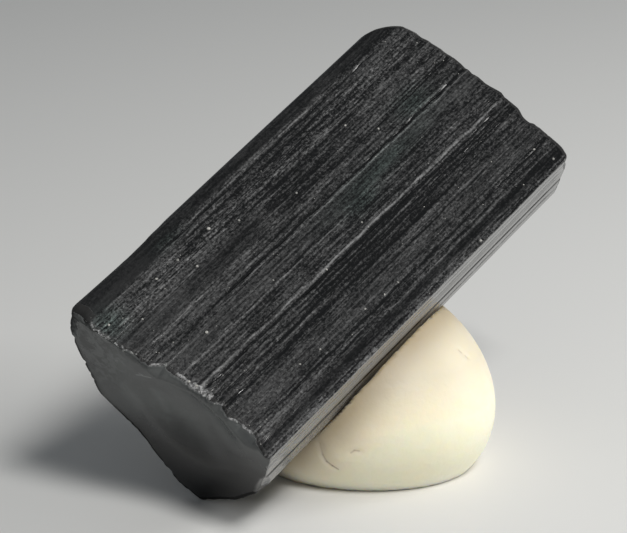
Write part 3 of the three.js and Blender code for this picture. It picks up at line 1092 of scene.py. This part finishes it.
def add_speck(bm, place, size, subdivisions):
    """One squashed ball on the broad face, at along, across, down."""
    turn = Matrix.Rotation(rng.uniform(0, math.tau), 4, "Z")
    squash = Matrix.Diagonal((*(size / 2 * rng.uniform(0.7, 1.2, 2)), size * FLATNESS, 1))
    face_turn = Matrix((lean * AXES).tolist()).to_4x4()
    middle = Matrix.Translation(into_frame(place) / MM)
    bmesh.ops.create_icosphere(bm, subdivisions=subdivisions, radius=1.0,
                               matrix=Matrix.Scale(MM, 4) @ middle @ face_turn @ turn @ squash)


def near_face(along, across):
    """The vertex of the broad face nearest to a place along and across."""
    off = np.abs(face_rows[:, face_steps, 0] - along)
    off += np.abs(face_rows[:, face_steps, 1] - across)
    nearest = np.unravel_index(np.argmin(off), off.shape)
    return face_rows[nearest[0], face_steps[nearest[1]]]


# %% Scatter the crumbs and specks
bm = bmesh.new()
for along, across, size in CRUMBS_SEEN:
    add_speck(bm, near_face(along, across), size * CRUMB_SHARE, 2)
for _ in range(SPECKS):
    picked = int(rng.beta(0.8, 1.3) * (len(face_rows) - 1)), rng.choice(face_steps)
    add_speck(bm, face_rows[picked], rng.uniform(*SPECK_SIZE), 1)
crumbs_piece = make_piece("pale_crumbs", bm)
material, tree, shader = new_material("pale_crumb", Roughness=0.8)
speckle = noise(tree, add_node(tree, "ShaderNodeTexCoord").outputs["Object"], scale=4000.0)
tree.links.new(ramp(tree, speckle, ((0.3, (0.17, 0.17, 0.16)), (0.7, (0.44, 0.43, 0.40)))),
               shader.inputs["Base Color"])
dress(crumbs_piece, material)

# %% [markdown]
# ## Grains of crushed stone
# Where the low rim crumbled, grains of the stone still lie against the edge, most of them right
# at it and the biggest few a little way in. They could be copies on a path, but a path is too
# even. So each light stretch of the rim gets grains in proportion to its size.

# %% Grains along the low rim
GRAINS_PER_MM = 7
bm = bmesh.new()
edge_line = edge_row[face_steps]
for start, end, reach, _ in CRUMBS:
    for _ in range(int(GRAINS_PER_MM * (end - start) * (0.3 + reach))):
        across = rng.uniform(start, end)
        on_edge = edge_line[np.argmin(np.abs(edge_line[:, 1] - across))]
        back = rng.beta(0.7, 2.0) * reach
        place = on_edge + [back, 0, 0.05 * rng.uniform(-1, 1)]
        add_speck(bm, place, 0.10 + 0.30 * rng.beta(0.9, 2.5), 1)
grains = make_piece("crushed_grains", bm)
material, tree, shader = new_material("crushed_tourmaline", Roughness=0.7)
speckle = noise(tree, add_node(tree, "ShaderNodeTexCoord").outputs["Object"], scale=2500.0)
tree.links.new(ramp(tree, speckle, ((0.35, (0.04, 0.04, 0.04)), (0.65, (0.30, 0.31, 0.30)))),
               shader.inputs["Base Color"])
dress(grains, material)

# %% [markdown]
# ## The display putty
# The putty is a hand-rolled ball pressed down until it carries the crystal. It bulges to
# the front and thins to a foot at the back. Every point of a rolled sheet is set on that bulge,
# and then slides towards one point low inside the lump until it clears the floor and the planes
# of the crystal's faces. That presses the seat of the crystal into it with a soft lip, as the
# stone itself did. Planes can't follow the inward corner beside the keel, so the tip of the keel
# still reaches 1.4 mm into the putty, out of sight in the seat. A sculpted lump would look as
# good, but its seat would have to be cut by hand.

# %% The bulge of the lump
PUTTY_STEPS, PUTTY_ROWS = 300, 180
PUTTY_CENTRE = np.array([0.666, 2.167, 5.6])
REACH_LEFT, REACH_RIGHT = 11.0, 11.6
REACH_FRONT, REACH_BACK = 13.9, 8.5
REACH_UP = 10.3
# How much wider and taller the lump is to the right
WIDER, TALLER = 0.18, 0.23
SWELLS, SHRINK = 0.005, 0.012
# Every point slides towards this one, low inside the lump
seed_point = PUTTY_CENTRE - np.array([0, 0, 3.1])


def putty_ball(unit):
    """The bulge in the frame, in mm, from places on a unit sphere."""
    x, y, z = unit.T
    reach_x = np.where(x < 0, REACH_LEFT, REACH_RIGHT)
    reach_y = np.where(y < 0, REACH_FRONT, REACH_BACK)
    uneven = 1 + SWELLS * (np.cos(5 * x + 3 * y) + np.cos(4 * z - 5 * y + 2)) - SHRINK
    return PUTTY_CENTRE + uneven[:, None] * np.column_stack([
        x * reach_x, y * reach_y * (1 + WIDER * x), z * REACH_UP * (1 + TALLER * x)])


bm, row, step = rolled_sheet(PUTTY_STEPS, PUTTY_ROWS)
tilt = row / (PUTTY_ROWS + 1) * math.pi
spin = step / PUTTY_STEPS * math.tau
unit = np.column_stack([np.sin(tilt) * np.cos(spin), np.sin(tilt) * np.sin(spin), np.cos(tilt)])
ends = putty_ball(unit)
print("the bulge is", (ends.max(0) - ends.min(0)).round(1).tolist(), "mm before it is pressed")


# %% The seat of the crystal
SEAT_GAP = 0.02
# Every third step round the section is enough for the seat
seat_planes = list(zip(section[::3], outward[::3]))
LIP, FLOOR_LIP = 0.018, 0.03
# A share past the end of every ray
FAR = 10.0


def to_crystal(places):
    """From the frame in mm to along, across and down."""
    return ((places - origin) @ lean) * AXES


def seat_share(start, ends):
    """How far each ray from start to its end may go before it is inside all the planes."""
    first = to_crystal(start[None, :])[0, 1:]
    last = to_crystal(ends)[:, 1:]
    enter = np.zeros(len(ends))
    leave = np.full(len(ends), FAR)
    for place, out in seat_planes:
        limit = place @ out + SEAT_GAP
        a = first @ out - limit
        b = last @ out - limit
        cross = a / np.where(np.abs(a - b) < 1e-9, 1e-9, a - b)
        falling = b < a
        enter = np.where(falling, np.maximum(enter, cross), enter)
        leave = np.where(~falling, np.minimum(leave, cross), leave)
    return np.where(enter < leave, enter, FAR)


fall = seed_point[2] - ends[:, 2]
floor_share = np.where(ends[:, 2] < 0, seed_point[2] / np.maximum(fall, 1e-9), FAR)
seat = seat_share(seed_point, ends)
share = soft_min(np.ones(len(ends)), seat, LIP)
share = soft_min(share, floor_share, FLOOR_LIP)
putty_places = seed_point + (ends - seed_point) * share[:, None]
print("points pressed by the crystal:", int(np.count_nonzero(seat < 1)))


# %% Marks in the front of the putty
# places in mm in the frame, half width and depth
MARKS = (
    (((-8.75, -3.70, 5.48), (-8.51, -3.80, 4.33), (-8.21, -3.99, 3.65), (-7.83, -4.32, 3.21),
      (-7.43, -4.66, 2.85)), 0.20, 0.12),
    (((-8.2, -4.9, 4.6), (-7.75, -5.0, 3.9)), 0.5, -0.05),
    (((-7.19, -5.91, 4.75), (-7.04, -6.16, 5.00), (-6.82, -6.51, 4.97)), 0.25, 0.16),
    (((3.75, -8.88, 11.88), (3.87, -9.08, 11.64)), 0.17, 0.10),
    (((4.14, -9.33, 11.37), (4.30, -9.51, 11.12)), 0.16, 0.12),
)


def press_marks(places):
    """Presses each mark towards the inside of the lump. A depth below 0 is a swelling."""
    pressed = np.zeros(len(places))
    for line, half, depth in MARKS:
        nearest = np.full(len(places), np.inf)
        for start, end in zip(np.array(line), np.array(line)[1:]):
            run = end - start
            t = np.clip((places - start) @ run / (run @ run), 0, 1)
            off = places - start - t[:, None] * run
            nearest = np.minimum(nearest, np.linalg.norm(off, axis=1))
        pressed += depth * np.exp(-(nearest / half) ** 2)
    inward = seed_point - places
    return places + inward / np.linalg.norm(inward, axis=1)[:, None] * pressed[:, None]


putty_places = press_marks(putty_places)
putty_places[:, 2] = np.maximum(putty_places[:, 2], 0)
print("marks:", len(MARKS))


# %% The putty as a piece
# How far the painted shade beside the crystal reaches, in mm
SEAT_SHADE_REACH = 2.6


def clearance(places):
    """Distance from the planes of the seat, in mm, and 0 where the putty touches them."""
    beside = to_crystal(places)[:, 1:]
    apart = [(beside - place) @ out for place, out in seat_planes]
    return np.maximum(np.max(apart, axis=0) - 2 * SEAT_GAP, 0)


move_points(bm, putty_places * MM)
put_numbers(bm, "near_seat", np.exp(-(clearance(putty_places) / SEAT_SHADE_REACH) ** 2))
close_sheet(bm)
putty = make_piece("display_putty", bm)
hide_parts("putty_rest")

# %% [markdown]
# ## Cream putty
# The putty is soft and waxy, so light goes a little way in: its shader scatters light under the
# surface. Beside the stone it is painted brown, as painted shade where the crystal shadows it. Its
# top is painted a little darker, as painted shade that evens out the strong light from above, and
# its creases are painted dark, as painted shade. A crease is drawn as strokes between the same
# places that were pressed in, so that the painted shade lies in the hollow. A painted mask would
# do it too, but would have to be painted again after every change of shape.

# %% Cream putty
# Browns for painted shade beside the crystal and in the creases
SEAT_SHADE, SEAT_SHADE_SHARE = (0.36, 0.29, 0.19), 0.9
CREASE_SHADE, CREASE_SHADE_HALF = (0.33, 0.25, 0.17), 0.13
CREASE_SHADE_STRENGTHS = (0.35, 0.45, 0.65, 0.8)


def on_lump(place):
    """Slides a place in or out from the seed point until it lies on the finished lump."""
    rays = putty_places - seed_point
    reach = np.linalg.norm(rays, axis=1)
    ray = np.array(place) - seed_point
    ray /= np.linalg.norm(ray)
    return Vector(seed_point + ray * reach[np.argmax(rays @ ray / np.maximum(reach, 1e-6))])


material, tree, shader = new_material(
    "cream_putty", Roughness=0.5, Subsurface_Weight=0.9, Subsurface_Scale=0.0035,
    Subsurface_Radius=(0.6, 0.5, 0.3), IOR=1.45)
where = add_node(tree, "ShaderNodeTexCoord").outputs["Object"]
cloud = noise(tree, where, scale=180.0, detail=3.0)
colour = ramp(tree, cloud, ((0.3, (0.955, 0.875, 0.675)), (0.7, (0.98, 0.905, 0.72))))
# Painted shade: the top is a little darker, to even out the strong light from above
height = add_node(tree, "ShaderNodeSeparateXYZ")
tree.links.new(stretched(tree, where, (0.0, 0.0, 90.0)), height.inputs[0])
painted_top_shade = ramp(tree, height.outputs["Z"], ((0.62, 1.0), (0.95, 0.75)))
colour = blend(tree, 1.0, colour, painted_top_shade, "MULTIPLY")
# Painted shade: brown where the crystal shadows the putty
seat_shade = sum_of(tree, "MULTIPLY", read(tree, "near_seat"), SEAT_SHADE_SHARE)
colour = blend(tree, seat_shade, colour, SEAT_SHADE)
in_mm = stretched(tree, where, (1 / MM, 1 / MM, 1 / MM))
# Painted shade in the pressed creases, drawn as dark strokes along them
for line, _, depth in MARKS:
    ends_of_line = [on_lump(place) for place in line] if depth > 0 else []
    for start, end, strength in zip(ends_of_line, ends_of_line[1:], CREASE_SHADE_STRENGTHS):
        stroke = use_group(tree, STROKE, Place=in_mm, Start=start, Run=end - start,
                           Half=CREASE_SHADE_HALF)
        stroke = sum_of(tree, "MULTIPLY", stroke, strength)
        colour = blend(tree, stroke, colour, CREASE_SHADE)
tree.links.new(colour, shader.inputs["Base Color"])
smear = noise(tree, where, scale=700.0, detail=4.0)
tree.links.new(sum_of(tree, "ADD", sum_of(tree, "MULTIPLY", smear, 0.2), 0.4),
               shader.inputs["Roughness"])
bump(tree, shader, smear, 0.08 * MM)
dress(putty, material)

# %% [markdown]
# ## Floor, light and camera
# The stone stands on a plain pale floor. A soft key light, high and a little to the right of the
# viewer, draws the striae, and a lower fill light far to the right opens the narrow side and the
# front of the putty. One large light would be simpler, but a glossy black face would then mirror
# it whole and turn grey. A pale blue room keeps the shadows from going black.

# %% Floor
FLOOR_HALF = 3.0
bm = bmesh.new()
bmesh.ops.create_grid(bm, x_segments=1, y_segments=1, size=FLOOR_HALF)
floor = make_piece("floor", bm, body=None)
material, tree, shader = new_material("pale_floor", Roughness=0.6)
shader.inputs["Base Color"].default_value = (0.69, 0.69, 0.676, 1)
dress(floor, material)

# %% Light
# place from the middle of the object, size and watts
LIGHTS = {
    "key": ((-0.0563, -0.185, 0.267), 0.085, 0.80),
    "fill": ((0.245, -0.21, 0.16), 0.16, 0.67),
}
WARM_WHITE = (1.0, 0.99, 0.97)
ROOM_BLUE, ROOM_STRENGTH = (0.9, 0.95, 1.0, 1), 0.19
scene = bpy.context.scene
world = bpy.data.worlds.new("soft_room")
world.use_nodes = True
room = world.node_tree.nodes["Background"]
room.inputs["Color"].default_value = ROOM_BLUE
room.inputs["Strength"].default_value = ROOM_STRENGTH
scene.world = world
centre = (cad_box[0] + cad_box[1]) / 2


def soft_light(name, place, size, watts):
    """A square soft light that looks at the middle of the object."""
    data = bpy.data.lights.new(name, "AREA")
    data.size = size
    data.energy = watts
    data.color = WARM_WHITE
    light = bpy.data.objects.new(name, data)
    light.location = centre + Vector(place)
    light.rotation_euler = (-Vector(place)).to_track_quat("-Z", "Y").to_euler()
    scene.collection.objects.link(light)
    print(name, "light:", watts, "W,", round(Vector(place).length, 3), "m away")


for name, (place, size, watts) in LIGHTS.items():
    soft_light(name, place, size, watts)
scene.view_settings.view_transform = "Standard"

# %% Camera
VIEW_FROM = Vector((-143.58, -125.96, 70.07)) * MM
VIEW_ALONG = Vector((0.6942, 0.6334, -0.342))
LENS, SENSOR = 132.06, 36.0
camera_data = bpy.data.cameras.new("camera")
camera_data.lens = LENS
camera_data.sensor_width = SENSOR
camera = bpy.data.objects.new("camera", camera_data)
camera.location = centre + VIEW_FROM
camera.rotation_euler = VIEW_ALONG.to_track_quat("-Z", "Y").to_euler()
scene.collection.objects.link(camera)
scene.camera = camera
print("the camera looks from", round(VIEW_FROM.length, 3), "m away")
